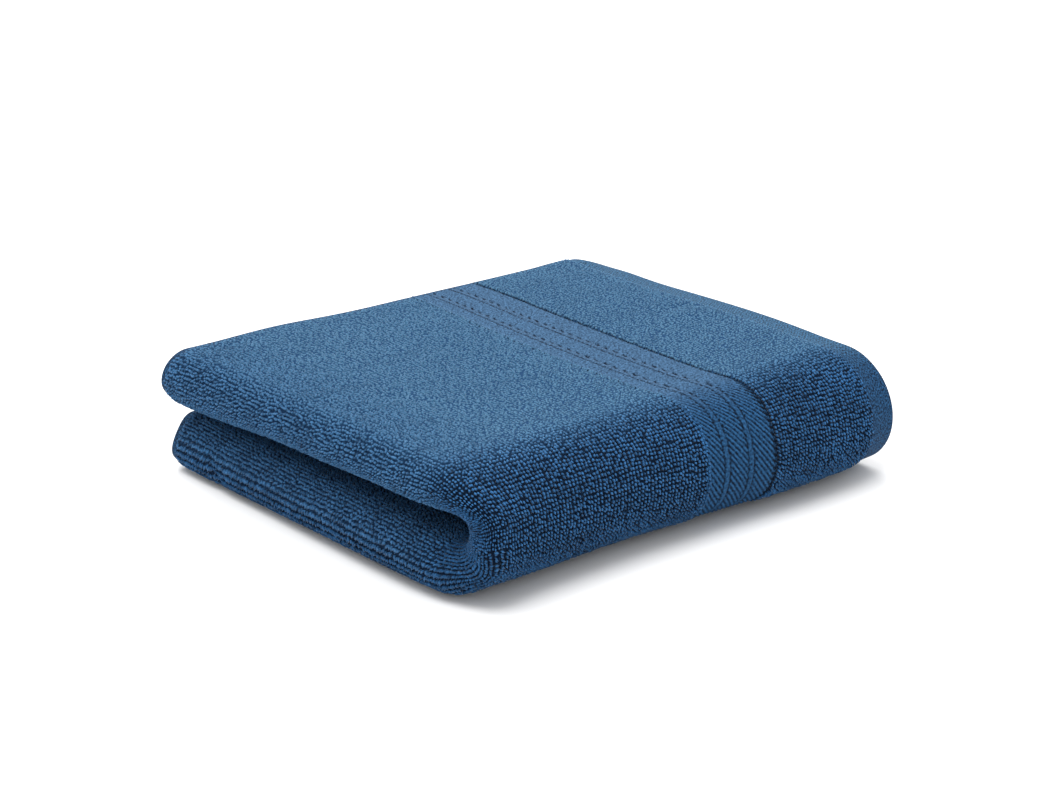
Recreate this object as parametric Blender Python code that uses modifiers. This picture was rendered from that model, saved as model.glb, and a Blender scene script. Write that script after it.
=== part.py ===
# A terry hand towel with a flat woven border near each end, folded to an eighth of its
# size: in half twice along its length, then in half across its width.
# Metres, +Z up. X runs along the towel's length to the hem that lies on top, Y runs
# across its width from the round fold in front (-Y) to the selvedges at the back (+Y).
# The origin is at the middle of the underside.
import math
from collections import namedtuple

import bmesh
import bpy
from mathutils import Vector

# The flat towel
LENGTH = 1.000
WIDTH = 0.500
TERRY_THICK = 0.0060         # ground cloth with its loops on both faces
BORDER_THICK = 0.0018        # woven flat, without loops
HEM_THICK = 0.0032           # the flat end turned over twice and sewn
SELVEDGE_THICK = 0.0020
HEM_WIDE = 0.018
HEM_TO_BORDER = 0.084        # from the towel's end to the near side of its border
BORDER_WIDE = 0.042
SELVEDGE_WIDE = 0.005
PILE_SLOPE = 0.0025          # over which the loops rise beside a flat stretch

# The fold: four layers to a bundle, and the bundle round the front
LAYER_PITCH = 0.00774
SLIT = 0.0018                # the extra room between the upper and the lower bundle
POCKET = 0.0028              # how much further off the slit is inside the front fold
POCKET_DEEP = 0.032
OUTSIDE_RUN = 0.2485         # from the hem to the wide left fold, in the middle of the width
INNER_RUN = 0.2305           # the two layers between the left and the right folds
HEM_DROP = 0.003             # the outside hem hangs past the layers under it
HEM_HANG = 0.030             # the stretch that bends down

# The left fold isn't quite square to the hem, so the outside layer reaches further to the
# right in some places across the width, and the hidden one as much less
Slant = namedtuple("Slant", "across reach")
SLANTS = [
    Slant(-0.250, 0.002),
    Slant(-0.045, 0.006),
    Slant(0.015, 0.004),
    Slant(0.060, 0.000),
    Slant(0.250, 0.010),
]

# How the fold has settled: soft moves in millimetres, whose places and sizes are given in
# parts of the folded box, from its left, front and floor
Slump = namedtuple("Slump", "what place size move")
SLUMPS = [
    Slump("upper left fold hangs over", (0.00, 0.80, 0.60), (0.10, 0.50, 0.18), (-5.0, 0.0, 0.0)),
    Slump("far left corner sinks", (0.00, 1.00, 1.00), (0.12, 0.30, 0.40), (2.5, 0.0, -1.0)),
    Slump("lower left fold stays back", (0.00, 1.00, 0.38), (0.10, 0.50, 0.18), (4.5, 0.0, 0.0)),
    Slump("lower left fold spreads", (0.00, 0.95, 0.04), (0.10, 0.45, 0.13), (-3.5, 0.0, 0.0)),
    Slump("near left corner is tight", (0.00, 0.00, 0.15), (0.15, 0.18, 0.35), (3.0, 2.0, 0.0)),
    Slump("top rises over the left fold", (0.25, 1.00, 1.00), (0.12, 0.30, 0.50), (0.0, 0.0, 1.3)),
    Slump("hems and folds lift the right", (0.95, 0.50, 1.00), (0.25, 0.45, 0.60), (0.0, 0.0, 5.0)),
    Slump("far right corner stands up", (1.00, 1.00, 1.00), (0.06, 0.12, 0.50), (3.0, 0.0, 1.5)),
    Slump("hem sinks at the front", (1.00, 0.08, 0.85), (0.07, 0.15, 0.30), (-1.0, 0.0, -1.5)),
    Slump("front draws in beside it", (0.38, 0.00, 0.15), (0.15, 0.30, 0.40), (0.0, 2.0, 0.0)),
    Slump("front swells at the right", (0.85, 0.00, 0.20), (0.30, 0.35, 0.60), (0.0, -5.5, 0.0)),
]

OUTER_HEIGHT = 3.5 * LAYER_PITCH      # of the outside layer's middle over the slit
OUTER_RADIUS = SLIT / 2 + OUTER_HEIGHT
HALF_TERRY = TERRY_THICK / 2
QUARTER_BEND = OUTER_RADIUS * math.pi / 2
BACK = WIDTH / 2 - QUARTER_BEND
WIDE_FOLD = math.pi * 1.5 * LAYER_PITCH
TIGHT_FOLD = math.pi * 0.5 * LAYER_PITCH
HIDDEN_RUN = LENGTH - OUTSIDE_RUN - 2 * INNER_RUN - WIDE_FOLD - 2 * TIGHT_FOLD
LEFT = 1.5 * LAYER_PITCH + HALF_TERRY
FRONT = OUTER_RADIUS + HALF_TERRY
BOX = Vector((LEFT + OUTSIDE_RUN, FRONT + BACK, 2 * FRONT))

# The towel's length as it is folded, from the top hem: how far each stretch goes, how much
# it turns, and the longest step between two rows of points
Stretch = namedtuple("Stretch", "name length turn step")
STRETCHES = [
    Stretch("outside layer", OUTSIDE_RUN, 0.0, 0.030),
    Stretch("wide left fold", WIDE_FOLD, math.pi, WIDE_FOLD / 12),
    Stretch("layer at the slit", INNER_RUN, 0.0, 0.040),
    Stretch("right fold", TIGHT_FOLD, math.pi, TIGHT_FOLD / 6),
    Stretch("third layer", INNER_RUN, 0.0, 0.048),
    Stretch("tight left fold", TIGHT_FOLD, -math.pi, TIGHT_FOLD / 6),
    Stretch("second layer", HIDDEN_RUN, 0.0, 0.048),
]

COLOUR = (0.045, 0.125, 0.255, 1.0)
ROUGHNESS = 0.95


def ease(value):
    # 0 to 1 in a soft curve
    value = min(max(value, 0.0), 1.0)
    return value * value * (3 - 2 * value)


def flat_bands():
    # The stretches of the length that have no loops: start, end, thickness
    near, far = HEM_TO_BORDER, HEM_TO_BORDER + BORDER_WIDE
    return [
        (0.0, HEM_WIDE, HEM_THICK),
        (near, far, BORDER_THICK),
        (LENGTH - far, LENGTH - near, BORDER_THICK),
        (LENGTH - HEM_WIDE, LENGTH, HEM_THICK),
    ]


def thickness(along, across):
    # The cloth's thickness at a place on the flat towel
    thick = TERRY_THICK
    for start, end, flat in flat_bands():
        outside = max(start - along, along - end)
        thick = min(thick, flat + (TERRY_THICK - flat) * ease(outside / PILE_SLOPE))
    inside = WIDTH / 2 - SELVEDGE_WIDE - abs(across)
    edge = SELVEDGE_THICK + (TERRY_THICK - SELVEDGE_THICK) * ease(inside / PILE_SLOPE)
    return min(thick, edge)


def section(along):
    # The bundle's section: distance from the left fold's centre, and height over the slit
    x, height, heading = OUTSIDE_RUN, OUTER_HEIGHT, math.pi
    left = along
    for stretch in STRETCHES:
        gone = min(left, stretch.length)
        turned = stretch.turn * gone / stretch.length
        if stretch.turn:
            radius = stretch.length / stretch.turn
            x += radius * (math.sin(heading + turned) - math.sin(heading))
            height -= radius * (math.cos(heading + turned) - math.cos(heading))
        else:
            x += gone * math.cos(heading)
            height += gone * math.sin(heading)
        heading += turned
        left -= gone
        if left <= 0:
            break
    return x, height


def bend(across):
    # Where the bundle is across the towel: y of the centre line, and the way outwards (y, z)
    beyond = abs(across) - QUARTER_BEND
    if beyond > 0:
        return beyond, 0.0, math.copysign(1.0, across)
    angle = across / OUTER_RADIUS
    return 0.0, -math.cos(angle), math.sin(angle)


def half_slit(across):
    beyond = (abs(across) - QUARTER_BEND) / POCKET_DEEP
    return SLIT / 2 + POCKET * (1 - ease(beyond))


def hem_drop(along, across):
    # The hem bends down on top and in at the front, and lies flat underneath
    hang = ease(1 - along / HEM_HANG)
    raised = ease(across / QUARTER_BEND + 1)
    return HEM_DROP * hang * raised


def slant(along, x, across):
    # How far the outside layer and the hidden one are pulled along by the slanting fold
    after = next(i for i, row in enumerate(SLANTS) if across <= row.across or row is SLANTS[-1])
    start, end = SLANTS[max(after - 1, 0)], SLANTS[max(after, 1)]
    part = ease((across - start.across) / (end.across - start.across))
    reach = start.reach + (end.reach - start.reach) * part
    pulled = reach * ease(2 * x / OUTSIDE_RUN)
    if along < OUTSIDE_RUN:
        return pulled
    if along > LENGTH - HIDDEN_RUN:
        return -pulled
    return 0.0


def settled(point):
    # Gravity and handling: every layer near a slump moves with it, and the floor stays flat
    place = [(point.x + LEFT) / BOX.x, (point.y + FRONT) / BOX.y, (point.z + FRONT) / BOX.z]
    above_floor = ease((point.z + FRONT - TERRY_THICK) / (2 * LAYER_PITCH))
    moved = point.copy()
    for slump in SLUMPS:
        away = sum(((a - b) / c) ** 2 for a, b, c in zip(place, slump.place, slump.size))
        move = Vector(slump.move) * math.exp(-away) / 1000
        move.z *= above_floor
        moved += move
    return moved


def folded(along, across):
    # A place on the flat towel, folded
    x, height = section(along)
    height -= hem_drop(along, across)
    centre, out_y, out_z = bend(across)
    gap = half_slit(across)
    out = gap + height * (OUTER_RADIUS - gap) / OUTER_HEIGHT
    x += slant(along, x, across)
    return settled(Vector((x, centre + out * out_y, out * out_z)))


def steps(marks, longest):
    # Every mark, and equal steps no longer than longest between them
    places = [marks[0]]
    for start, end in zip(marks, marks[1:]):
        count = math.ceil((end - start) / longest - 1e-6)
        places += [start + (end - start) * i / count for i in range(1, count + 1)]
    return places


def rows_along():
    edges = []
    for start, end, _ in flat_bands():
        edges += [start - PILE_SLOPE, start, end, end + PILE_SLOPE]
    rows = [0.0]
    start = 0.0
    for stretch in STRETCHES:
        end = start + stretch.length
        inside = [edge for edge in edges if start + 0.001 < edge < end - 0.001]
        rows += steps([start, *sorted(inside), end], stretch.step)[1:]
        start = end
    return rows


def rows_across():
    edge = WIDTH / 2
    flat = edge - SELVEDGE_WIDE
    run = [QUARTER_BEND, QUARTER_BEND + POCKET_DEEP / 2, QUARTER_BEND + POCKET_DEEP,
           flat - PILE_SLOPE, flat, edge]
    upper = steps(run, 0.035)
    front = steps([-QUARTER_BEND, QUARTER_BEND], QUARTER_BEND / 6)
    return [-place for place in reversed(upper[1:])] + front + upper[1:]


def towel_cloth():
    along, across = rows_along(), rows_across()
    columns, rows = len(along) - 1, len(across) - 1
    sheet = bmesh.new()
    bmesh.ops.create_grid(sheet, x_segments=columns, y_segments=rows, size=1.0)
    mesh = bpy.data.meshes.new("hand_towel")
    pile = []
    for vertex in sheet.verts:
        # The new grid runs from -1 to 1 both ways
        u = along[round((vertex.co.x + 1) / 2 * columns)]
        v = across[round((vertex.co.y + 1) / 2 * rows)]
        vertex.co = folded(u, v)
        pile.append(thickness(u, v) / TERRY_THICK)
    bmesh.ops.recalc_face_normals(sheet, faces=sheet.faces[:])
    sheet.to_mesh(mesh)
    sheet.free()
    mesh.shade_smooth()
    towel = bpy.data.objects.new("hand_towel", mesh)
    weights = towel.vertex_groups.new(name="pile")
    for index, weight in enumerate(pile):
        weights.add([index], weight, "REPLACE")
    body = towel.modifiers.new("cloth", "SOLIDIFY")
    body.thickness = TERRY_THICK
    body.offset = 0.0
    body.vertex_group = weights.name
    return towel


def stand_on_origin(towel):
    # The middle of the underside goes to the origin
    view = bpy.context.evaluated_depsgraph_get()
    corners = [Vector(corner) for corner in towel.evaluated_get(view).bound_box]
    low = Vector(map(min, zip(*corners)))
    high = Vector(map(max, zip(*corners)))
    middle = (low + high) / 2
    for vertex in towel.data.vertices:
        vertex.co -= Vector((middle.x, middle.y, low.z))


def terry_material():
    material = bpy.data.materials.new("blue cotton terry")
    material.use_nodes = True
    shader = material.node_tree.nodes["Principled BSDF"]
    shader.inputs["Base Color"].default_value = COLOUR
    shader.inputs["Roughness"].default_value = ROUGHNESS
    shader.inputs["Metallic"].default_value = 0.0
    material.diffuse_color = COLOUR
    return material


def main():
    for old in list(bpy.data.objects):
        bpy.data.objects.remove(old)
    collection = bpy.data.collections.new("hand towel")
    bpy.context.scene.collection.children.link(collection)
    towel = towel_cloth()
    towel.data.materials.append(terry_material())
    collection.objects.link(towel)
    stand_on_origin(towel)


main()
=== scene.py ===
import math

import bpy
import numpy as np
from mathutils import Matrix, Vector


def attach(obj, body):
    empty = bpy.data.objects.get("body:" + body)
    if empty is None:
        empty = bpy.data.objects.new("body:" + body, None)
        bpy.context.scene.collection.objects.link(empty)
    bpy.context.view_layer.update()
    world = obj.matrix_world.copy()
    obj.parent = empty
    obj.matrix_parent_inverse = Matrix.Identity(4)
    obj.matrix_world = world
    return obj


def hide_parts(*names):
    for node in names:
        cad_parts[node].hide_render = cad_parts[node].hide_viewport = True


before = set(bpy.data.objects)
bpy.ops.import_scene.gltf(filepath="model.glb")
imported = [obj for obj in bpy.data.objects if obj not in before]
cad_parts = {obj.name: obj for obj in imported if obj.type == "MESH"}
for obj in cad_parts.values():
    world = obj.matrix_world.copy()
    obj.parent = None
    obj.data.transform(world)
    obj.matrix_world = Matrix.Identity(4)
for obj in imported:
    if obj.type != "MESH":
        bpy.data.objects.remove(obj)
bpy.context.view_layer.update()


# the flat towel and its fold, with the same values as the solid
towel = {
    "length": 1.000,
    "width": 0.500,
    "terryThick": 0.0060,        # over the loops of both faces
    "groundHalf": 0.0013,        # the woven ground under the loops, from its middle
    "flatHalf": 0.0009,          # the border, woven without loops
    "hemHalf": 0.0016,           # the end turned over twice
    "selvedgeHalf": 0.0010,
    "hemWide": 0.018,
    "hemToBorder": 0.084,        # from the towel's end to the border
    "borderWide": 0.042,
    "selvedgeWide": 0.005,
    "pileSlope": 0.0025,         # over which packed pile falls beside a flat stretch
}

fold = {
    "layerPitch": 0.00774,       # from the middle of one layer to the next
    "slit": 0.0018,              # between the upper half of the stack and the lower
    "pocket": 0.0028,            # how much further off the slit is inside the front fold
    "pocketDeep": 0.032,
    "outsideRun": 0.2485,        # from the hem to the wide left fold
    "innerRun": 0.2305,
    "hemDrop": 0.003,            # how far the loose hem sinks, over the length below
    "hemHang": 0.030,
    "measureStep": 0.002,        # between the points that its middle is found from
}

# how far the slanting left fold pulls the outside layer to the right: across, reach
slants = [(-0.250, 0.002), (-0.045, 0.006), (0.015, 0.004), (0.060, 0.000), (0.250, 0.010)]

# how the fold has settled: place and size in parts of the folded box, move in millimetres. The
# first eleven shape the solid too, and the rest are finer: the hollow at the slit's front end,
# the lip over the slit, the hem's edge and its corner, and the back of the left fold.
slumps = [
    {"place": (0.00, 0.80, 0.60), "size": (0.10, 0.50, 0.18), "move": (-5.0, 0.0, 0.0)},
    {"place": (0.00, 1.00, 1.00), "size": (0.12, 0.30, 0.40), "move": (2.5, 0.0, -1.0)},
    {"place": (0.00, 1.00, 0.38), "size": (0.10, 0.50, 0.18), "move": (4.5, 0.0, 0.0)},
    {"place": (0.00, 0.95, 0.04), "size": (0.10, 0.45, 0.13), "move": (-3.5, 0.0, 0.0)},
    {"place": (0.00, 0.00, 0.15), "size": (0.15, 0.18, 0.35), "move": (3.0, 2.0, 0.0)},
    {"place": (0.25, 1.00, 1.00), "size": (0.12, 0.30, 0.50), "move": (0.0, 0.0, 1.3)},
    {"place": (0.95, 0.50, 1.00), "size": (0.25, 0.45, 0.60), "move": (0.0, 0.0, 5.0)},
    {"place": (1.00, 1.00, 1.00), "size": (0.06, 0.12, 0.50), "move": (3.0, 0.0, 1.5)},
    {"place": (1.00, 0.08, 0.85), "size": (0.07, 0.15, 0.30), "move": (-1.0, 0.0, -1.5)},
    {"place": (0.38, 0.00, 0.15), "size": (0.15, 0.30, 0.40), "move": (0.0, 2.0, 0.0)},
    {"place": (0.85, 0.00, 0.20), "size": (0.30, 0.35, 0.60), "move": (0.0, -5.5, 0.0)},
    {"place": (0.00, 0.07, 0.62), "size": (0.12, 0.060, 0.15), "move": (10.0, -8.5, 0.0)},
    {"place": (0.00, 0.07, 0.38), "size": (0.12, 0.065, 0.16), "move": (8.5, -7.0, -4.8)},
    {"place": (0.00, 0.27, 0.61), "size": (0.12, 0.17, 0.105), "move": (0.0, 0.0, 4.8)},
    {"place": (0.00, 0.58, 0.61), "size": (0.12, 0.22, 0.105), "move": (0.0, 0.0, 4.8)},
    {"place": (0.985, 0.94, 1.00), "size": (0.035, 0.050, 0.35), "move": (0.0, 0.0, 2.4)},
    {"place": (1.00, 0.83, 1.00), "size": (0.08, 0.09, 0.40), "move": (0.0, 0.0, 1.6)},
    {"place": (1.00, 0.24, 1.00), "size": (0.12, 0.28, 0.40), "move": (0.0, 0.0, 2.0)},
    {"place": (0.62, 1.00, 1.00), "size": (0.14, 0.25, 0.40), "move": (0.0, 0.0, 0.5)},
    {"place": (0.00, 1.00, 0.84), "size": (0.10, 0.20, 0.22), "move": (-3.0, 0.0, 1.2)},
]

# creases seen in the outside layer: start and end (along, across), width and depth in metres,
# and a ridge where deep is below zero
creases = [
    {"start": (0.2480, 0.140), "end": (0.2420, 0.112), "wide": 0.0035, "deep": 0.0012},
    {"start": (0.2200, 0.125), "end": (0.2000, 0.075), "wide": 0.0050, "deep": 0.0005},
    {"start": (0.2690, -0.218), "end": (0.2590, -0.206), "wide": 0.0030, "deep": 0.0014},
    {"start": (0.1450, 0.200), "end": (0.1400, 0.050), "wide": 0.0120, "deep": -0.0010},
    {"start": (0.0490, 0.130), "end": (0.0340, 0.132), "wide": 0.0026, "deep": 0.0007},
    {"start": (0.0340, 0.132), "end": (0.0210, 0.124), "wide": 0.0026, "deep": 0.0009},
    {"start": (0.0400, 0.118), "end": (0.0320, 0.116), "wide": 0.0080, "deep": -0.0009},
    {"start": (0.2510, 0.238), "end": (0.2220, 0.234), "wide": 0.0030, "deep": 0.0006},
    {"start": (0.2500, 0.225), "end": (0.2380, 0.206), "wide": 0.0028, "deep": 0.0006},
    {"start": (0.2190, 0.196), "end": (0.2050, 0.193), "wide": 0.0030, "deep": 0.0005},
]

# how far the border has been pulled towards the left fold: across, reach
pulls = [(-0.010, 0.0023), (0.040, 0.0000), (0.160, 0.0000), (0.250, -0.0030)]
pullFades = (0.070, 0.090)       # from the hem and from the fold, over which that dies out

halfPile = towel["terryThick"] / 2
outerHeight = 3.5 * fold["layerPitch"]     # of the outside layer over the slit, as the fourth
outerRadius = fold["slit"] / 2 + outerHeight
quarterBend = outerRadius * math.pi / 2
edge = towel["width"] / 2
wideRadius = 1.5 * fold["layerPitch"]      # from the outside layer round two inner ones
wideFold = math.pi * wideRadius
tightFold = math.pi * fold["layerPitch"] / 2
hiddenRun = towel["length"] - fold["outsideRun"] - 2 * fold["innerRun"] - wideFold - 2 * tightFold
borderFar = towel["hemToBorder"] + towel["borderWide"]
leftReach = wideRadius + halfPile
frontReach = outerRadius + halfPile
foldedBox = np.array([leftReach + fold["outsideRun"], frontReach + edge - quarterBend,
                      2 * frontReach])
stretches = [                    # the length as it is folded: how far each goes, and its turn
    (fold["outsideRun"], 0.0),
    (wideFold, math.pi),
    (fold["innerRun"], 0.0),
    (tightFold, math.pi),
    (fold["innerRun"], 0.0),
    (tightFold, -math.pi),
    (hiddenRun, 0.0),
]
rightFoldStart = fold["outsideRun"] + wideFold + fold["innerRun"]


def ease(value):
    value = np.clip(value, 0.0, 1.0)
    return value * value * (3 - 2 * value)


def section(along):
    # distance from the left folds, height over the slit, and the way the cloth heads
    x = np.full_like(along, fold["outsideRun"])
    height = np.full_like(along, outerHeight)
    heading = np.full_like(along, math.pi)
    left = along.copy()
    for length, turn in stretches:
        gone = np.clip(left, 0.0, length)
        if turn:
            turned = turn * gone / length
            radius = length / turn
            x += radius * (np.sin(heading + turned) - np.sin(heading))
            height -= radius * (np.cos(heading + turned) - np.cos(heading))
            heading += turned
        else:
            x += gone * np.cos(heading)
            height += gone * np.sin(heading)
        left -= gone
    return x, height, heading


def reachAt(across, marks):
    # how far a list of marks across says, eased from each mark to the next
    reach = np.full_like(across, marks[0][1])
    for (start, before), (end, after) in zip(marks, marks[1:]):
        reach += (after - before) * ease((across - start) / (end - start))
    return reach


def settledBy(place):
    # how far gravity and handling have moved a folded place
    share = (place + [leftReach, frontReach, frontReach]) / foldedBox
    aboveFloor = ease((place[:, 2] + frontReach - towel["terryThick"]) / (2 * fold["layerPitch"]))
    moved = np.zeros_like(place)
    for slump in slumps:
        away = (((share - slump["place"]) / slump["size"]) ** 2).sum(axis=1)
        move = np.outer(np.exp(-away), slump["move"]) / 1000
        move[:, 2] *= aboveFloor
        moved += move
    return moved


def creased(along, across):
    # how far the outer side sinks in the creases
    sunk = np.zeros_like(along)
    for crease in creases:
        start, end = np.array(crease["start"]), np.array(crease["end"])
        way = end - start
        part = ((along - start[0]) * way[0] + (across - start[1]) * way[1]) / (way @ way)
        part = np.clip(part, 0.0, 1.0)
        apart = np.hypot(along - start[0] - part * way[0], across - start[1] - part * way[1])
        sunk += crease["deep"] * np.exp(-(apart / crease["wide"]) ** 2)
    return sunk


def foldedAt(along, across, out):
    # places on the flat towel, out from its middle towards its outer side, folded
    x, height, heading = section(along)
    drop = ease(1 - along / fold["hemHang"]) * ease(across / quarterBend + 1)
    height -= fold["hemDrop"] * drop
    onTop = along < fold["outsideRun"]
    slanted = reachAt(across, slants) * ease(2 * x / fold["outsideRun"])
    x += np.where(onTop, slanted, np.where(along > towel["length"] - hiddenRun, -slanted, 0.0))
    nearBorder = ease(along / pullFades[0]) * ease((fold["outsideRun"] - along) / pullFades[1])
    x -= reachAt(across, pulls) * nearBorder
    beyond = np.maximum(np.abs(across) - quarterBend, 0.0)
    gap = fold["slit"] / 2 + fold["pocket"] * (1 - ease(beyond / fold["pocketDeep"]))
    height = gap + height * (outerRadius - gap) / outerHeight
    out = out - creased(along, across)
    angle = np.clip(across, -quarterBend, quarterBend) / outerRadius
    outY, outZ = -np.cos(angle), np.sin(angle)
    middle = np.stack([x, beyond + height * outY, height * outZ], axis=1)
    reach = -out * np.cos(heading)
    lifted = np.stack([out * np.sin(heading), reach * outY, reach * outZ], axis=1)
    return middle + lifted + settledBy(middle)


def swaying(along, across, waves):
    # slow waves: the height of each, how far along and across it takes a radian, and its phase
    return sum(high * np.sin(along / longAlong + across / longAcross + phase)
               for high, longAlong, longAcross, phase in waves)


def steps(marks, longest):
    # every mark, and equal steps no longer than longest between them
    places = [marks[0]]
    for start, end in zip(marks, marks[1:]):
        count = max(1, math.ceil((end - start) / longest - 1e-6))
        places += [start + (end - start) * i / count for i in range(1, count + 1)]
    return places


def standingShift():
    # the middle of the underside goes to the origin, as on the solid
    ends = [0.0, fold["outsideRun"], fold["outsideRun"] + wideFold]
    sides = [-edge, -quarterBend, quarterBend, edge]
    along, across = (np.array(steps(marks, fold["measureStep"])) for marks in (ends, sides))
    alongs, acrosses = (grid.ravel() for grid in np.meshgrid(along, across))
    places = foldedAt(alongs, acrosses, np.full_like(alongs, halfPile))
    low, high = places.min(axis=0), places.max(axis=0)
    return np.array([-(low[0] + high[0]) / 2, -(low[1] + high[1]) / 2, frontReach])


shift = standingShift()
print("the towel stands at", shift.round(5))


def linear(hexColour):
    # an sRGB hex value as linear red, green, blue and alpha
    parts = [int(hexColour[i:i + 2], 16) / 255 for i in (0, 2, 4)]
    return [p / 12.92 if p <= 0.04045 else ((p + 0.055) / 1.055) ** 2.4 for p in parts] + [1.0]


def addNode(tree, kind, settings=None, links=None):
    # a node with its settings, by socket or property, and what feeds its sockets
    node = tree.nodes.new(kind)
    for key, value in (settings or {}).items():
        if isinstance(key, str) and hasattr(node, key):
            setattr(node, key, value)
        else:
            node.inputs[key].default_value = value
    for key, source in (links or {}).items():
        tree.links.new(source, node.inputs[key])
    return node


def clothMaterial(name, sheen, roughness):
    # a new cotton material and its shader: dull, with the soft light that fine hairs throw back
    material = bpy.data.materials.new(name)
    material.use_nodes = True
    shader = material.node_tree.nodes["Principled BSDF"]
    shader.inputs["Roughness"].default_value = roughness
    shader.inputs["Metallic"].default_value = 0.0
    shader.inputs["Specular IOR Level"].default_value = 0.12
    shader.inputs["Sheen Weight"].default_value = sheen["weight"]
    shader.inputs["Sheen Roughness"].default_value = sheen["roughness"]
    shader.inputs["Sheen Tint"].default_value = linear(sheen["tint"])
    return material, shader


dye = {
    "loopLight": "35699C",       # the tips of the loops
    "loopDeepShade": "04142A",        # painted shade down in the pile, towards the loops' feet
    "brushedSheenLight": "4D7696",    # the same on the brushed top, paler as painted sheen, with its deep below
    "brushedSheenDeep": "1A3D60",
    # near black: painted shade between the pile's tips and under the real loops
    "ground": "05162A",
    "weave": "2B5B88",
    # near black: painted shade in the weave's grooves, dashes and trench, and between its lines
    "weaveDeepShade": "020E1E",
    # paler copies for the weave on the brushed top, as painted sheen
    "brushedWeaveSheen": "496E92",
    "brushedHemSheen": "487BA4",
    "brushedWeaveSheenDeep": "051529",
    "patchSize": 0.012,          # patches where the pile lies another way
    "patchLong": 3.0,            # how much longer they are along the towel
    "patchTurn": 36,             # degrees, how far their noise is turned
    "patchDepth": 0.9,           # how much they change the dye
    "plySize": 0.0009,           # plies and fibres, under a millimetre
    "plyDepth": 1.4,
    "settle": 0.70,              # taken off again, so that the two only vary the dye
    "sheen": {"weight": 0.20, "roughness": 0.30, "tint": "D8E2EC"},
    "noSheen": {"weight": 0.0, "roughness": 0.30, "tint": "D8E2EC"},
}


def patchiness(tree, where):
    # a slow change over the towel, in Object coordinates, as a hand leaves it in the pile
    size = dye["patchSize"]
    turned = addNode(tree, "ShaderNodeMapping",
                     {"Rotation": (0.0, 0.0, math.radians(dye["patchTurn"])),
                      "Scale": (1 / size / dye["patchLong"], 1 / size, 1 / size)},
                     {"Vector": where.outputs["Object"]})
    return addNode(tree, "ShaderNodeTexNoise", {"Scale": 1.0, "Detail": 4.0, "Roughness": 0.6},
                   {"Vector": turned.outputs["Vector"]})


def dyed(tree, share, deep, light, brushedSheenDeep="brushedSheenDeep", brushedSheenLight="brushedSheenLight"):
    # the colour from deep, painted shade, to light, and paler as painted sheen where the pile is
    # brushed
    brush = addNode(tree, "ShaderNodeAttribute", {"attribute_name": "brushedAndSheen"})
    mixes = []
    for low, high in ((deep, light), (brushedSheenDeep, brushedSheenLight)):
        mixes.append(addNode(tree, "ShaderNodeMix", {"data_type": "RGBA", 6: linear(dye[low]),
                             7: linear(dye[high])}, {0: share}))
    both = addNode(tree, "ShaderNodeMix", {"data_type": "RGBA"},
                   {0: brush.outputs["Fac"], 6: mixes[0].outputs[2], 7: mixes[1].outputs[2]})
    return both.outputs[2]


def loopMaterial():
    # Cotton terry: soft two-ply yarn in loops, piece dyed. The loops' tips catch the light and
    # the pile goes dark between them, so it looks like velvet from low down. The colour darkens
    # towards each loop's foot as painted shade, and is paler as painted sheen on the brushed top.
    material, shader = clothMaterial("cotton terry loops", dye["sheen"], 0.9)
    tree = material.node_tree
    rise = addNode(tree, "ShaderNodeAttribute", {"attribute_name": "rise"})
    where = addNode(tree, "ShaderNodeTexCoord")
    patches = patchiness(tree, where)
    lift = addNode(tree, "ShaderNodeMath", {"operation": "MULTIPLY_ADD", 1: dye["patchDepth"],
                   2: -dye["patchDepth"] / 2}, {0: patches.outputs["Fac"]})
    fuzz = addNode(tree, "ShaderNodeTexNoise", {"Scale": 1 / dye["plySize"], "Detail": 2.0},
                   {"Vector": where.outputs["Object"]})
    plies = addNode(tree, "ShaderNodeMath", {"operation": "MULTIPLY_ADD", 1: dye["plyDepth"]},
                    {0: fuzz.outputs["Fac"], 2: lift.outputs[0]})
    share = addNode(tree, "ShaderNodeMath", {"operation": "ADD"},
                    {0: rise.outputs["Fac"], 1: plies.outputs[0]})
    settled = addNode(tree, "ShaderNodeMath", {"operation": "SUBTRACT", 1: dye["settle"],
                      "use_clamp": True}, {0: share.outputs[0]})
    colour = dyed(tree, settled.outputs[0], "loopDeepShade", "loopLight")
    tree.links.new(colour, shader.inputs["Base Color"])
    bump = addNode(tree, "ShaderNodeBump", {"Strength": 0.5, "Distance": 0.0002},
                   {"Height": fuzz.outputs["Fac"]})
    tree.links.new(bump.outputs["Normal"], shader.inputs["Normal"])
    return material


packedPile = {
    "apart": 0.0022,             # from tip to tip
    "stray": 0.6,                # how far the tips are off a plain grid, in parts of that
    "tipWide": 0.52,             # from a tip's middle to the painted shade beside it, in parts of that
    "shadeUnderLoops": 0.75,          # how much more painted shade it has as the ground under real loops
    "bump": 0.0012,
}


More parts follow.
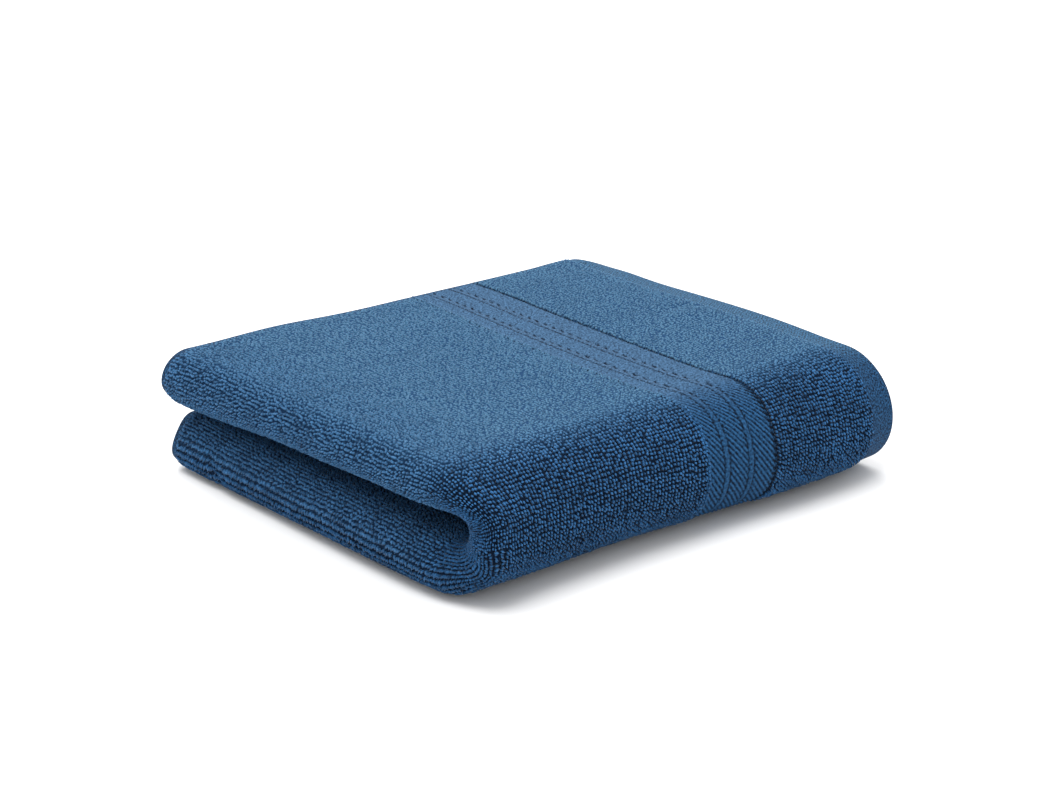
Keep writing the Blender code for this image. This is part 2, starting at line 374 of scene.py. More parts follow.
def packedPileMaterial():
    # The same terry where layers press on each other: rounded tips side by side with painted
    # shade between them. It also shows as the ground under the real loops, where the attribute
    # under darkens it with more painted shade.
    material, shader = clothMaterial("cotton terry pressed pile", dye["noSheen"], 0.95)
    tree = material.node_tree
    flat = addNode(tree, "ShaderNodeUVMap", {"uv_map": "flat"})
    tips = addNode(tree, "ShaderNodeTexVoronoi", {"feature": "F1",
                   "Scale": 1 / packedPile["apart"], "Randomness": packedPile["stray"]},
                   {"Vector": flat.outputs["UV"]})
    round_ = addNode(tree, "ShaderNodeMapRange", {"From Min": 0.0,
                     "From Max": packedPile["tipWide"], "To Min": 1.0, "To Max": 0.0},
                     {"Value": tips.outputs["Distance"]})
    under = addNode(tree, "ShaderNodeAttribute", {"attribute_name": "under"})
    shade = addNode(tree, "ShaderNodeMath", {"operation": "MULTIPLY_ADD",
                    1: -packedPile["shadeUnderLoops"], 2: 1.0}, {0: under.outputs["Fac"]})
    share = addNode(tree, "ShaderNodeMath", {"operation": "MULTIPLY"},
                    {0: round_.outputs[0], 1: shade.outputs[0]})
    colour = dyed(tree, share.outputs[0], "ground", "loopLight")
    tree.links.new(colour, shader.inputs["Base Color"])
    bump = addNode(tree, "ShaderNodeBump", {"Strength": 0.9, "Distance": packedPile["bump"]},
                   {"Height": round_.outputs[0]})
    tree.links.new(bump.outputs["Normal"], shader.inputs["Normal"])
    return material


weave = {
    "thread": 0.0011,            # drawn about twice as coarse as real so that threads show
    "bump": 0.0003,
    "borderGrain": 2.8,          # how much single threads vary the dye
    "flatGrain": 3.4,
    "oneLine": 0.314,            # the Wave node's scale that gives one line a metre
    # the lines' turn in degrees, how far they are apart and how deep, painted shade between
    # them, how pale all of it is, and its paler colour on the brushed top, as painted sheen
    "hem": {"turn": -52, "apart": 0.0014, "ridges": 0.20, "lift": -1.40, "brushedAndSheen": "brushedHemSheen"},
    "selvedge": {"turn": 90, "apart": 0.0012, "ridges": 0.45, "lift": -1.65, "brushedAndSheen": "weave"},
}


def threads(tree):
    # single threads, as an uneven noise on the flat towel
    flat = addNode(tree, "ShaderNodeUVMap", {"uv_map": "flat"})
    return addNode(tree, "ShaderNodeTexNoise", {"Scale": 1 / weave["thread"], "Detail": 3.0,
                   "Roughness": 0.65}, {"Vector": flat.outputs["UV"]})


def flatWeaveMaterial(name, lie):
    # Cotton of the same yarn woven without loops, for the hems and the selvedges: smooth and
    # dull, with fine lines whose dark parts are painted shade, darker than the pile where nothing
    # brushes it, and paler where brushed, as painted sheen.
    material, shader = clothMaterial(name, dye["noSheen"], 0.85)
    tree = material.node_tree
    flat = addNode(tree, "ShaderNodeUVMap", {"uv_map": "flat"})
    turned = addNode(tree, "ShaderNodeMapping",
                     {"Rotation": (0.0, 0.0, math.radians(lie["turn"]))},
                     {"Vector": flat.outputs["UV"]})
    lines = addNode(tree, "ShaderNodeTexWave", {"wave_type": "BANDS", "bands_direction": "X",
                    "Scale": weave["oneLine"] / lie["apart"]}, {"Vector": turned.outputs["Vector"]})
    grain = threads(tree)
    speck = addNode(tree, "ShaderNodeMath", {"operation": "MULTIPLY_ADD", 1: weave["flatGrain"],
                    2: lie["lift"]}, {0: grain.outputs["Fac"]})
    share = addNode(tree, "ShaderNodeMath", {"operation": "MULTIPLY_ADD", 1: lie["ridges"],
                    "use_clamp": True}, {0: lines.outputs["Fac"], 2: speck.outputs[0]})
    colour = dyed(tree, share.outputs[0], "weaveDeepShade", "weave", "weaveDeepShade", lie["brushedAndSheen"])
    tree.links.new(colour, shader.inputs["Base Color"])
    bump = addNode(tree, "ShaderNodeBump", {"Strength": 0.5, "Distance": weave["bump"]},
                   {"Height": share.outputs[0]})
    tree.links.new(bump.outputs["Normal"], shader.inputs["Normal"])
    return material


def borderMaterial():
    # The border's twill and ribs are shaped in the mesh. This adds the threads and the dye, with
    # painted shade in the grooves, dashes and trench, and painted sheen on the brushed top.
    material, shader = clothMaterial("cotton twill border", dye["noSheen"], 0.85)
    tree = material.node_tree
    rise = addNode(tree, "ShaderNodeAttribute", {"attribute_name": "rise"})
    grain = threads(tree)
    speck = addNode(tree, "ShaderNodeMath", {"operation": "MULTIPLY_ADD", 1: weave["borderGrain"],
                    2: -weave["borderGrain"] / 2}, {0: grain.outputs["Fac"]})
    share = addNode(tree, "ShaderNodeMath", {"operation": "ADD", "use_clamp": True},
                    {0: rise.outputs["Fac"], 1: speck.outputs[0]})
    colour = dyed(tree, share.outputs[0], "weaveDeepShade", "weave", "brushedWeaveSheenDeep", "brushedWeaveSheen")
    tree.links.new(colour, shader.inputs["Base Color"])
    bump = addNode(tree, "ShaderNodeBump", {"Strength": 0.4, "Distance": weave["bump"]},
                   {"Height": grain.outputs["Fac"]})
    tree.links.new(bump.outputs["Normal"], shader.inputs["Normal"])
    return material


looks = {
    "loops": loopMaterial(),
    "pressed": packedPileMaterial(),
    "hem": flatWeaveMaterial("cotton twill hem", weave["hem"]),
    "selvedge": flatWeaveMaterial("cotton selvedge cords", weave["selvedge"]),
    "border": borderMaterial(),
}
print("materials made")


cloth = {
    "openStep": 0.0032,          # between rows of points on the outside layer
    "foldStep": 0.0016,
    "innerStep": 0.012,
    "acrossStep": 0.0035,
    "bendStep": 0.0028,
    "roundEdge": 0.0016,         # how far in the hem's and the selvedge's edges are rounded
    "edgeLess": 0.93,            # and how strongly, where 1 would close them to nothing
    "pressed": 0.97,             # how much of the pile's height is left between layers
    "underside": -0.047,         # across, past which the outer side lies on the floor
    "slitDeep": 0.020,           # how far loops reach into the slit
    "pastBend": 0.004,           # and how far they go past the fold on the right
    "loopFade": 0.004,           # over which real loops give way to packed pile
    "bendFade": 0.003,
}


pile = {
    "base": 0.0010,              # where a loop leaves the cloth, from the cloth's middle
    "high": 0.0017,              # from there to the middle of the yarn at its top
    "reach": 0.00026,            # half the loop's width, between its legs' middles
    "yarn": 0.00055,             # half the yarn's thickness
    "twist": 74,                 # degrees that the loops have turned from the length
    "twistMore": 14,             # and how much they differ
    "lean": 0.00018,             # how far its top leans over, at random
    "leanDown": -0.3,            # and in parts of that, how far all of them lean across
    "strayed": 0.00014,          # how far a loop is off its place in the weave
    "sway": 0.00035,             # and how far whole rows are, in these waves
    "rowSways": [(0.5, math.inf, 0.0093, 1.3), (0.5, 0.017, -0.021, 0.0)],
    "loopSways": [(0.5, 0.0081, math.inf, 0.0), (0.5, 0.024, 0.015, 0.7)],
    "clump": 0.00011,            # and how far the loops of a clump lean together
    "clumpSize": (0.0045, 0.0090),
    "clumpWaves": 4,             # for each way that they lean, and for the dye
    "clumpSeed": 7,
    "loopSeed": 40,              # of the first piece, and one more for each of the next
    "uneven": 0.08,              # in the loops' size
    "toneVary": 0.16,            # in their dye, from loop to loop and from clump to clump
    "toneClump": 0.05,
    "footShade": 2.3,             # how fast painted shade darkens a loop towards its foot
    "usualRow": 0.0020,          # the rows' distance at which a loop has its usual length
    "clear": 0.0002,             # kept free beside a flat stretch
    "overBorder": 0.0006,        # how far the pile reaches over the border's far edge
    "overTop": 0.0004,           # and the left fold's over the top's, for an even row there
    "brushedTwist": 40,          # all that the brushed pile on top has more
    "brushedStrayed": 0.00016,
    "brushedFat": 0.20,
    "brushedUneven": -0.02,
    "brushedGround": 0.0009,
    # less painted shade at the loops' feet on top
    "brushedFootShade": -1.8,
    "edgeLow": 0.35,             # how much lower the loops stand beside the selvedge and the hem
    "edgeReach": 0.005,
}


# Where the pile is brushed and how much, which also paints sheen there as a paler colour.
# Across and into the left fold it starts at the first number, in metres, and has come to its
# full share over the second.
brush = {
    "top": {"across": (0.022, 0.030), "nearFold": 0.25, "nearOver": 0.040, "bend": 0.40,
            "bendOver": 0.012},                   # how much less near the fold and on its bend
    "lip": {"share": 0.25, "across": (0.030, 0.020), "into": (0.008, 0.006)},
    "valley": {"share": 0.24, "across": (0.030, 0.030), "into": (0.012, 0.008)},
}


def brushedAndSheen(along, across):
    # hands have brushed the pile on top smooth, and left the rows on the bends as woven. The
    # upper fold's lip and the valley under it are brushed a little. The same share paints sheen:
    # the colour is paler where it is high.
    into = along - fold["outsideRun"]
    start, over = brush["top"]["across"]
    share = ease((across - start) / over)
    share *= (1 - brush["top"]["nearFold"] * ease(into / brush["top"]["nearOver"] + 1)
              - brush["top"]["bend"] * ease(into / brush["top"]["bendOver"]))
    for name, side in (("lip", 1), ("valley", -1)):
        start, over = brush[name]["across"]
        there = brush[name]["share"] * ease((side * across - start) / over)
        start, over = brush[name]["into"]
        share = np.maximum(share, there * ease((into - start) / over))
    return share


def flatBands():
    # the stretches of the length that have no loops: start, end, half thickness
    length = towel["length"]
    return [
        (0.0, towel["hemWide"], towel["hemHalf"]),
        (towel["hemToBorder"], borderFar, towel["flatHalf"]),
        (length - borderFar, length - towel["hemToBorder"], towel["flatHalf"]),
        (length - towel["hemWide"], length, towel["hemHalf"]),
    ]


def looped(along, across):
    # how much of a place has real loops on the outer side, from 0 to 1
    slitEnd = fold["outsideRun"] + wideFold + cloth["slitDeep"]
    onTop = ease((across - cloth["underside"]) / cloth["loopFade"])
    outside = ease((slitEnd - along) / cloth["loopFade"])
    outside *= np.where(along < fold["outsideRun"], onTop, 1.0)
    right = np.abs(along - rightFoldStart - tightFold / 2) - tightFold / 2 - cloth["pastBend"]
    return np.maximum(outside, ease(-right / cloth["bendFade"]))


def clothHalf(along, across, outer):
    # half the cloth's thickness towards one side of its middle
    half = np.full_like(along, halfPile * cloth["pressed"])
    open_ = looped(along, across) * outer
    ground = towel["groundHalf"] + pile["brushedGround"] * brushedAndSheen(along, across)
    half += (ground - half) * open_
    for start, end, flatHalf in flatBands():
        slope = ease(np.maximum(start - along, along - end) / towel["pileSlope"])
        half = np.minimum(half, flatHalf + (halfPile - flatHalf) * slope)
    slope = ease((edge - towel["selvedgeWide"] - np.abs(across)) / towel["pileSlope"])
    rim = towel["selvedgeHalf"]
    half = np.minimum(half, rim + (halfPile - rim) * slope)
    toEdge = np.minimum(np.minimum(along, towel["length"] - along), edge - np.abs(across))
    part = 1 - np.clip(toEdge / cloth["roundEdge"], 0.0, 1.0)
    return half * np.sqrt(1 - cloth["edgeLess"] * part * part)


def rowsAlong():
    # where the cloth's points lie along it, closest on the folds
    marks = [0.0]
    start = 0.0
    slope = towel["pileSlope"]
    inside = [cloth["roundEdge"] / 4, cloth["roundEdge"]]
    inside += [towel["hemWide"], towel["hemWide"] + slope]
    inside += [towel["hemToBorder"] - slope, towel["hemToBorder"], borderFar, borderFar + slope]
    inside += [towel["length"] - place for place in inside]
    for number, (length, turn) in enumerate(stretches):
        end = start + length
        longest = cloth["openStep"] if number == 0 else cloth["innerStep"]
        if turn:
            longest = cloth["foldStep"]
        between = [place for place in sorted(inside) if start + 1e-4 < place < end - 1e-4]
        marks += steps([start, *between, end], longest)[1:]
        start = end
    return np.array(marks)


def rowsAcross():
    flat = edge - towel["selvedgeWide"]
    run = steps([quarterBend, flat - towel["pileSlope"], flat, edge - cloth["roundEdge"],
                 edge - cloth["roundEdge"] / 4, edge], cloth["acrossStep"])
    front = steps([-quarterBend, quarterBend], cloth["bendStep"])
    return np.array([-place for place in reversed(run[1:])] + front + run[1:])


def deselect():
    bpy.ops.object.select_all(action="DESELECT")


def finishPiece(piece, *materials):
    # the piece rides on the towel's one body and takes its finish from the terry
    for material in materials:
        piece.data.materials.append(material)
    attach(piece, "root")
    return piece


def layOut(piece, along, across, out):
    # folds a flat piece, and keeps its flat places as a UV map in metres
    mesh = piece.data
    places = foldedAt(along, across, out) + shift
    mesh.vertices.foreach_set("co", places.astype(np.float32).ravel())
    corner = np.empty(len(mesh.loops), dtype=np.int32)
    mesh.loops.foreach_get("vertex_index", corner)
    layer = mesh.uv_layers.get("flat") or mesh.uv_layers.new(name="flat")
    flat = np.stack([along[corner], across[corner]], axis=1)
    layer.uv.foreach_set("vector", flat.astype(np.float32).ravel())
    mesh.update()


def keepValue(mesh, name, values):
    layer = mesh.attributes.new(name, "FLOAT", "POINT")
    layer.data.foreach_set("value", values.astype(np.float32).ravel())


def flatGrid(name, columns, rows):
    # a flat grid with as many columns and rows as there are places for them
    deselect()
    bpy.ops.mesh.primitive_grid_add(x_subdivisions=len(columns) - 1,
                                    y_subdivisions=len(rows) - 1, size=2)
    grid = bpy.context.object
    grid.name = grid.data.name = name
    return grid


def gridPlaces(grid, columns, rows):
    # Where each point of a grid is on the flat towel. The grid's x runs against the length, so
    # that its upper side is the towel's outer side.
    points = np.empty(len(grid.data.vertices) * 3, dtype=np.float32)
    grid.data.vertices.foreach_get("co", points)
    points = points.reshape(-1, 3)
    column = np.rint((1 - points[:, 0]) / 2 * (len(columns) - 1)).astype(int)
    row = np.rint((points[:, 1] + 1) / 2 * (len(rows) - 1)).astype(int)
    return columns[column], rows[row], points[:, 2]


def makeCloth():
    # the whole towel as one closed sheet, folded
    columns, rows = rowsAlong(), rowsAcross()
    piece = flatGrid("towel_cloth", columns, rows)
    body = piece.modifiers.new("body", "SOLIDIFY")
    body.thickness = 1.0
    body.offset = 0.0
    bpy.ops.object.modifier_apply(modifier=body.name)
    along, across, side = gridPlaces(piece, columns, rows)
    outer = side > 0
    half = np.where(outer, clothHalf(along, across, 1.0), clothHalf(along, across, 0.0))
    soft = brushedAndSheen(along, across)
    # this share also paints sheen, as a paler colour on the brushed top
    keepValue(piece.data, "brushedAndSheen", soft * outer)
    # the attribute under paints shade on the ground between real loops, less on the brushed top
    keepValue(piece.data, "under", looped(along, across) * (1 - soft) * outer)
    layOut(piece, along, across, np.where(outer, half, -half))
    finishPiece(piece, looks["pressed"], looks["hem"], looks["selvedge"])
    flatStretches = flatBands()
    for face in piece.data.polygons:
        at = list(face.vertices)
        u, v = along[at].mean(), across[at].mean()
        woven = any(a < u < b for a, b, _ in flatStretches)
        face.material_index = 2 if abs(v) > edge - towel["selvedgeWide"] else int(woven)
    piece.data.shade_smooth()
    return piece


clothPiece = makeCloth()
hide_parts("hand_towel")
print("cloth:", len(clothPiece.data.polygons), "faces")


border = {
    "stepAlong": 0.0005,
    "stepAcross": 0.0007,
    "half": 0.0014,              # from the cloth's middle to the ground of the weave
    "thick": 0.0008,             # of the woven piece itself
    "under": -0.052,             # across, where the weave ends under the towel
    "stripes": [0.0143, 0.0110, 0.0090],    # from the hem's side, with a rib between each
    "ribWide": 0.0038,
    "ribSlope": 0.2,             # how much of that slopes at each side
    "ribHigh": 0.00005,
    "groove": 0.00055,           # on the fold's side of each rib
    "grooveWide": 0.00045,
    "rim": 0.4,                  # a fainter groove on the hem's side, where nothing brushes it
    "rimWide": 0.00040,
    "twillApart": 0.00197,
    "twillDeep": 0.00070,
    "twillTurn": 48.3,           # degrees from the length
    "twillRound": 0.8,           # under 1 for lines that are wider than the dark between them
    "twillSways": [(0.10, math.inf, 0.011, 0.0), (0.07, 0.004, 0.023, 0.0)],
    "dashApart": 0.0070,         # the floats' dark ends, along the hem's side of each rib
    "dashShift": 0.4,            # of the second rib's dashes, in parts of that
    "dashIn": 0.0004,            # from the rib's edge
    "dashLong": 0.0036,
    "dashFade": 0.0008,
    "dashWide": 0.00027,
    "dashOpen": 0.9,             # how much wider they are where they are brushed open, on top
    "dashWoven": 0.3,            # how much of them shows where nothing brushes them
    "dashVary": 0.25,            # from dash to dash, in a wave that moves on by these radians
    "dashPhase": 2.4,
    "dashDeep": 0.0008,
    "dashSlant": 0.25,
    "trenchWide": 0.0016,        # between the weave and the higher pile at its hem side
    "trenchBrushed": 0.0012,     # and how wide that is on top
    "trenchDeep": 0.0010,
    "riseToPile": 0.0006,        # on the fold's side, where the weave goes under the loops
    "riseOver": 0.0016,
    "underPile": 0.0012,
    # how pale the colour is, from 0 to 1, paler on the brushed top as painted sheen, and how
    # much painted shade darkens each mark
    "contrast": (1.4, -0.3),     # of the twill's lines, painted shade in their grooves: its slope and where it starts
    "ribPale": 0.54,
    "brushedSheenPale": 0.60,
    "evened": 0.85,              # how near ribs and brushed weave come to those
    "grooveShade": 0.9,
    "rimShade": 0.6,
    "dashShade": 1.5,
    "trenchShade": 1.6,
}


def ribStarts():
    # where each rib begins, on the hem's side
    starts, at = [], towel["hemToBorder"]
    for stripe in border["stripes"][:2]:
        at += stripe
        starts.append(at)
        at += border["ribWide"]
    return starts


def borderRelief(along, across):
    # the height of the border's weave over its ground: slanting twill, and two flat ribs, each
    # with a groove on one side and a row of dashes on the other; and its paleness, with painted
    # shade in the twill's grooves, the ribs' marks and the trench
    turn = math.radians(border["twillTurn"])
    lines = (along * math.sin(turn) - across * math.cos(turn)) / border["twillApart"]
    sway = swaying(along, across, border["twillSways"])
    wave = 0.5 + 0.5 * np.cos(2 * math.pi * (lines + sway))
    relief = border["twillDeep"] * wave ** border["twillRound"]
    slope, least = border["contrast"]
    # the twill's grooves darker, as painted shade
    rise = ease(wave * slope + least)
    soft = brushedAndSheen(along, across)
    # on the brushed top the weave is evened and paler, as painted sheen
    rise += (border["brushedSheenPale"] - rise) * border["evened"] * soft
    for number, start in enumerate(ribStarts()):
        into = (along - start) / border["ribWide"]
        rib = ease(into / border["ribSlope"]) * ease((1 - into) / border["ribSlope"])
        relief += (border["twillDeep"] / 2 + border["ribHigh"] - relief) * rib
        rise += (border["ribPale"] - rise) * border["evened"] * rib
        groove = np.exp(-((along - start - border["ribWide"]) / border["grooveWide"]) ** 2)
        rim = np.exp(-((along - start - border["rimWide"]) / border["rimWide"]) ** 2) * (1 - soft)
        place = across / border["dashApart"] + border["dashShift"] * number
        away = (place - np.round(place)) * border["dashApart"]
        wide = border["dashWide"] * (1 + border["dashOpen"] * soft)
        off = (along - start - border["dashIn"] + border["dashSlant"] * away) / wide
        dash = np.exp(-off * off)
        dash *= ease((border["dashLong"] / 2 - np.abs(away)) / border["dashFade"] + 0.5)
        dash *= border["dashWoven"] + (1 - border["dashWoven"]) * soft
        onward = border["dashPhase"] * np.round(place) + number
        dash *= 1 - border["dashVary"] * (1 - np.sin(onward))
        relief -= border["groove"] * (groove + border["rim"] * rim) + border["dashDeep"] * dash
        # painted shade in the grooves, rims and dashes
        rise -= (border["grooveShade"] * groove + border["rimShade"] * rim
                 + border["dashShade"] * dash)
    trenchWide = border["trenchWide"] + (border["trenchBrushed"] - border["trenchWide"]) * soft
    trench = np.exp(-((along - towel["hemToBorder"]) / trenchWide) ** 2)
    toPile = ease((along - borderFar + border["riseOver"]) / border["riseOver"]) * soft
    relief += border["riseToPile"] * toPile - border["trenchDeep"] * trench
    # painted shade in the trench beside the higher pile
    return relief, np.clip(rise, 0.0, 1.0) - border["trenchShade"] * trench


def borderWeave():
    # the border that shows, as one closed strip from the selvedge on top to the underside
    ends = [towel["hemToBorder"], borderFar + border["underPile"]]
    sides = [border["under"], edge - towel["selvedgeWide"]]
    columns = np.array(steps(ends, border["stepAlong"]))
    rows = np.array(steps(sides, border["stepAcross"]))
    piece = flatGrid("towel_border", columns, rows)
    along, across, _ = gridPlaces(piece, columns, rows)
    relief, rise = borderRelief(along, across)
    keepValue(piece.data, "rise", rise)
    keepValue(piece.data, "brushedAndSheen", brushedAndSheen(along, across))
    layOut(piece, along, across, border["half"] + relief)
    body = piece.modifiers.new("body", "SOLIDIFY")
    body.thickness = border["thick"]
    body.offset = -1.0
    bpy.ops.object.modifier_apply(modifier=body.name)
    piece.data.shade_smooth()
    return finishPiece(piece, looks["border"])


borderPiece = borderWeave()
print("border:", len(borderPiece.data.polygons), "faces")


leftStart, leftEnd = fold["outsideRun"], fold["outsideRun"] + wideFold + cloth["slitDeep"]
rightStart = rightFoldStart - cloth["pastBend"]
rightEnd = rightFoldStart + tightFold + cloth["pastBend"]
pilePieces = [                   # name, then from and to along and across, and what sets the rows
    ("pile_top_hem_side", (towel["hemWide"], towel["hemToBorder"]), (quarterBend, edge), "top"),
    ("pile_top_fold_side", (borderFar - pile["overBorder"], leftStart), (quarterBend, edge), "top"),
    ("pile_front", (towel["hemWide"], leftStart), (cloth["underside"], quarterBend), "front"),
    ("pile_left_upper", (leftStart - pile["overTop"], leftEnd), (0, edge), "roll"),
    ("pile_left_lower", (leftStart, leftEnd), (-edge, 0), "lower"),
    ("pile_right_fold", (rightStart, rightEnd), (-edge, edge), "hidden"),
]

# How far apart the rows are, from the start of a piece and past its bend, and the loops in a
# row. Then, beside the usual loops, how thick, clumped, long and bright these are. Rows change
# from one to the other over a length, and twist is in degrees.
rowsApart = {
    "top": {"start": 0.00180, "end": 0.00180, "loops": 0.00160, "fat": 1.08, "clump": 1.0},
    "front": {"start": 0.00195, "end": 0.00195, "loops": 0.00172, "fat": 1.08, "clump": 1.0},
    "roll": {"start": 0.00152, "end": 0.00152, "loops": 0.00155, "fat": 1.00, "clump": 0.7},
    "hidden": {"start": 0.00200, "end": 0.00200, "loops": 0.00175, "fat": 1.25, "clump": 1.0},
    # the lower roll's tone of 0.80 darkens its loops as painted shade
    "lower": {"start": 0.00310, "end": 0.00160, "loops": 0.00125, "fat": 0.95, "clump": 0.3,
              "from": 0.016, "over": 0.007, "twist": 8, "long": 0.95, "tone": 0.80},
}


def rowPlaces(start, end, apart):
    # the rows of a piece, and how wide each is beside the usual ones
    rows, widths, at = [], [], start
    while at < end - apart["end"] / 2:
        share = ease((at - start - apart.get("from", 0.0)) / apart.get("over", 1.0))
        step = apart["start"] + (apart["end"] - apart["start"]) * float(share)
        rows.append(at + step / 2)
        widths.append(step / pile["usualRow"])
        at += step
    return np.array(rows), np.array(widths)


# one loop's path: along its own plane, height, and how thick the yarn is there
loopPath = [(-0.85, 0.0, 0.85), (-0.80, 0.86, 1.0), (0.80, 0.86, 1.0), (0.85, 0.0, 0.85)]
loopSides = 3


def loopShape():
    # the points of one loop in parts of its size: along its plane, across it, height, risen
    points = []
    for number, (s, h, thick) in enumerate(loopPath):
        before = loopPath[max(number - 1, 0)]
        after = loopPath[min(number + 1, len(loopPath) - 1)]
        way = Vector(((after[0] - before[0]) * pile["reach"],
                      (after[1] - before[1]) * pile["high"])).normalized()
        for corner in range(loopSides):
            turn = 2 * math.pi * corner / loopSides
            out, aside = math.cos(turn) * thick, math.sin(turn) * thick
            points.append((s * pile["reach"] - way.y * out * pile["yarn"], aside * pile["yarn"],
                           h * pile["high"] + way.x * out * pile["yarn"], max(h, 0.0)))
    rings = len(loopPath)
    faces = []
    for ring in range(rings - 1):
        for corner in range(loopSides):
            after = (corner + 1) % loopSides
            low, high = ring * loopSides, (ring + 1) * loopSides
            faces.append((low + corner, low + after, high + after, high + corner))
    start = tuple(reversed(range(loopSides)))
    end = tuple((rings - 1) * loopSides + corner for corner in range(loopSides))
    return np.array(points), faces, [start, end]


def freeOfFlats(along, across):
    # where loops may stand: not on a selvedge, a hem or a border
    clear = np.abs(across) < edge - towel["selvedgeWide"] - pile["clear"] / 2
    for start, end, _ in flatBands():
        clear &= (along < start - pile["clear"]) | (along > end + pile["clear"])
    return clear


def makeClumps():
    # Short waves over the towel, each with its direction, length and phase. They lean the loops
    # along, then across, and the last ones change the dye.
    chance = np.random.default_rng(pile["clumpSeed"])
    waves = []
    for _ in range(3 * pile["clumpWaves"]):
        turn = chance.uniform(0, math.pi)
        size = chance.uniform(*pile["clumpSize"])
        waves.append((turn, size, chance.uniform(0, 7)))
    return np.reshape(waves, (3, pile["clumpWaves"], 3))


clumpWaves = makeClumps()


def clumped(along, across, waves):
    total = np.zeros_like(along)
    for turn, size, phase in waves:
        way = along * math.cos(turn) + across * math.sin(turn)
        total += np.sin(2 * math.pi * way / size + phase)
    return total


def pilePiece(name, alongs, acrosses, kind, seed):
    # one stretch of real loops: where each stands, then its shape, folded with the cloth
    shape, sides, ends = loopShape()
    chance = np.random.default_rng(seed)
    apart = rowsApart[kind]
    rows, widths = rowPlaces(*alongs, apart)
    columns = np.arange(acrosses[0] + apart["loops"] / 2, acrosses[1], apart["loops"])
    u, v = (grid.ravel() for grid in np.meshgrid(rows, columns))
    wide = np.tile(widths, len(columns))
    keep = freeOfFlats(u, v)
    u, v, wide = u[keep], v[keep], wide[keep]
    count = len(u)
    soft = brushedAndSheen(u, v)
    strayed = pile["strayed"] + pile["brushedStrayed"] * soft
    swayU = pile["sway"] * swaying(u, v, pile["rowSways"])
    swayV = pile["sway"] * swaying(u, v, pile["loopSways"])
    leanAlong, leanAcross, patchy = (clumped(u, v, waves) for waves in clumpWaves)
    clump = pile["clump"] * apart["clump"]
    u = u + swayU + clump * leanAlong + chance.normal(0, strayed)
    v = v + swayV + clump * leanAcross + chance.normal(0, strayed)
    twist = apart.get("twist", pile["twist"])
    turn = np.radians(chance.normal(twist, pile["twistMore"] + pile["brushedTwist"] * soft))
    uneven = pile["uneven"] + pile["brushedUneven"] * soft
    size = 1 + uneven * chance.normal(0, 1, count).clip(-2, 2)
    fat = apart["fat"] * (1 + pile["brushedFat"] * soft)
    longer = apart.get("long", 1.0) * wide
    toEdge = np.minimum(edge - towel["selvedgeWide"] - np.abs(v), u - towel["hemWide"])
    tallness = size * (1 - pile["edgeLow"] * (1 - ease(toEdge / pile["edgeReach"])))
    leanU = chance.normal(0, pile["lean"], count)
    leanV = chance.normal(pile["leanDown"] * pile["lean"], pile["lean"], count)
    inPlane, aside, high, risen = (shape[:, i][None, :] for i in range(4))
    inPlane, aside = inPlane * (size * longer)[:, None], aside * fat[:, None]
    tall = np.maximum(high / pile["high"], 0)
    cosine, sine = np.cos(turn)[:, None], np.sin(turn)[:, None]
    along = u[:, None] + inPlane * cosine - aside * sine + leanU[:, None] * tall
    across = v[:, None] + inPlane * sine + aside * cosine + leanV[:, None] * tall
    out = pile["base"] + high * tallness[:, None]
    places = foldedAt(along.ravel(), across.ravel(), out.ravel()) + shift
    each = len(shape)
    first = (np.arange(count) * each)[:, None, None]
    quads = (first + np.array(sides)[None]).reshape(-1, 4)
    caps = (first + np.array(ends)[None]).reshape(-1, 3)
    mesh = bpy.data.meshes.new(name)
    mesh.from_pydata(places.tolist(), [], quads.tolist() + caps.tolist())
    tone = chance.normal(1, pile["toneVary"], count) + pile["toneClump"] * patchy
    # tone varies at random, and the lower roll's tone adds painted shade
    tone = tone[:, None] * apart.get("tone", 1.0)
    # painted shade: each loop darkens towards its foot, less on the brushed top
    footShade = pile["footShade"] + pile["brushedFootShade"] * soft[:, None]
    keepValue(mesh, "rise", tone * risen ** footShade)
    keepValue(mesh, "brushedAndSheen", np.repeat(soft, len(shape)))
    mesh.shade_smooth()
    mesh.update()
    piece = bpy.data.objects.new(name, mesh)
    bpy.context.scene.collection.objects.link(piece)
    triangles = 2 * len(quads) + len(caps)
    print(name, count, "loops,", triangles, "triangles")
    return finishPiece(piece, looks["loops"])


loopObjects = [pilePiece(*piece, pile["loopSeed"] + number)
               for number, piece in enumerate(pilePieces)]


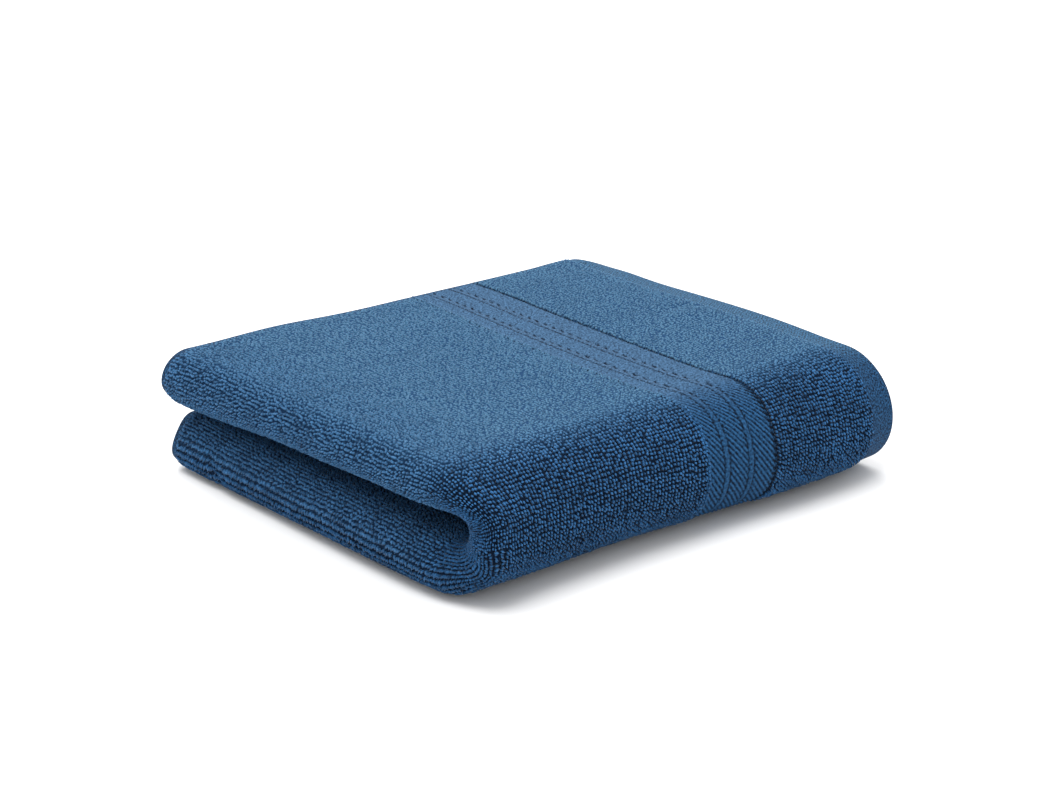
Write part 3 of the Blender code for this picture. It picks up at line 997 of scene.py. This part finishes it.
studio = {
    "azimuth": -40.426,          # degrees, as the photograph is taken
    "elevation": 18.693,
    "distance": 1.0043,
    "lens": 67.90,               # millimetres, and so is the sensor's width
    "sensor": 36.0,
    "target": (0.02020, 0.02999, 0.02843),
    "floor": "F2F2F2",
    "floorSize": 12.0,
    "floorLow": -0.0004,         # just under the towel, so that their faces don't meet
    "sky": "FFFFFF",
    "skyStrength": 1.05,
    "lights": [                  # name, place, what it points at, size, watts
        ("overhead softbox", (-0.60, -0.25, 1.85), (0.0, 0.0, 0.03), 1.1, 25.0),
        ("backdrop light", (1.30, 2.20, 1.90), (1.10, 1.90, 0.0), 2.4, 60.0),
    ],
}


def makeFloor():
    deselect()
    bpy.ops.mesh.primitive_plane_add(size=studio["floorSize"], location=(0, 0, studio["floorLow"]))
    floor = bpy.context.object
    floor.name = "studio_floor"
    bpy.ops.object.transform_apply(location=True, rotation=True, scale=True)
    material = bpy.data.materials.new("matt white backdrop paper")
    material.use_nodes = True
    shader = material.node_tree.nodes["Principled BSDF"]
    shader.inputs["Base Color"].default_value = linear(studio["floor"])
    shader.inputs["Roughness"].default_value = 0.9
    floor.data.materials.append(material)


def makeLights():
    world = bpy.data.worlds.new("studio white")
    world.use_nodes = True
    back = world.node_tree.nodes["Background"]
    back.inputs["Color"].default_value = linear(studio["sky"])
    back.inputs["Strength"].default_value = studio["skyStrength"]
    bpy.context.scene.world = world
    for name, place, aim, size, watts in studio["lights"]:
        light = bpy.data.lights.new(name, "AREA")
        light.shape = "SQUARE"
        light.size = size
        light.energy = watts
        lamp = bpy.data.objects.new(name, light)
        lamp.location = place
        lamp.rotation_euler = (Vector(aim) - Vector(place)).to_track_quat("-Z", "Y").to_euler()
        bpy.context.scene.collection.objects.link(lamp)


def makeCamera():
    azimuth, elevation = math.radians(studio["azimuth"]), math.radians(studio["elevation"])
    level = math.cos(elevation)
    away = Vector((math.sin(azimuth) * level, -math.cos(azimuth) * level, math.sin(elevation)))
    data = bpy.data.cameras.new("photograph")
    data.lens = studio["lens"]
    data.sensor_width = studio["sensor"]
    data.sensor_fit = "HORIZONTAL"
    data.dof.use_dof = False
    camera = bpy.data.objects.new("photograph", data)
    camera.location = Vector(studio["target"]) + away * studio["distance"]
    camera.rotation_euler = (-away).to_track_quat("-Z", "Y").to_euler()
    bpy.context.scene.collection.objects.link(camera)
    bpy.context.scene.camera = camera


makeFloor()
makeLights()
makeCamera()
bpy.context.scene.view_settings.view_transform = "Standard"
print("studio ready")
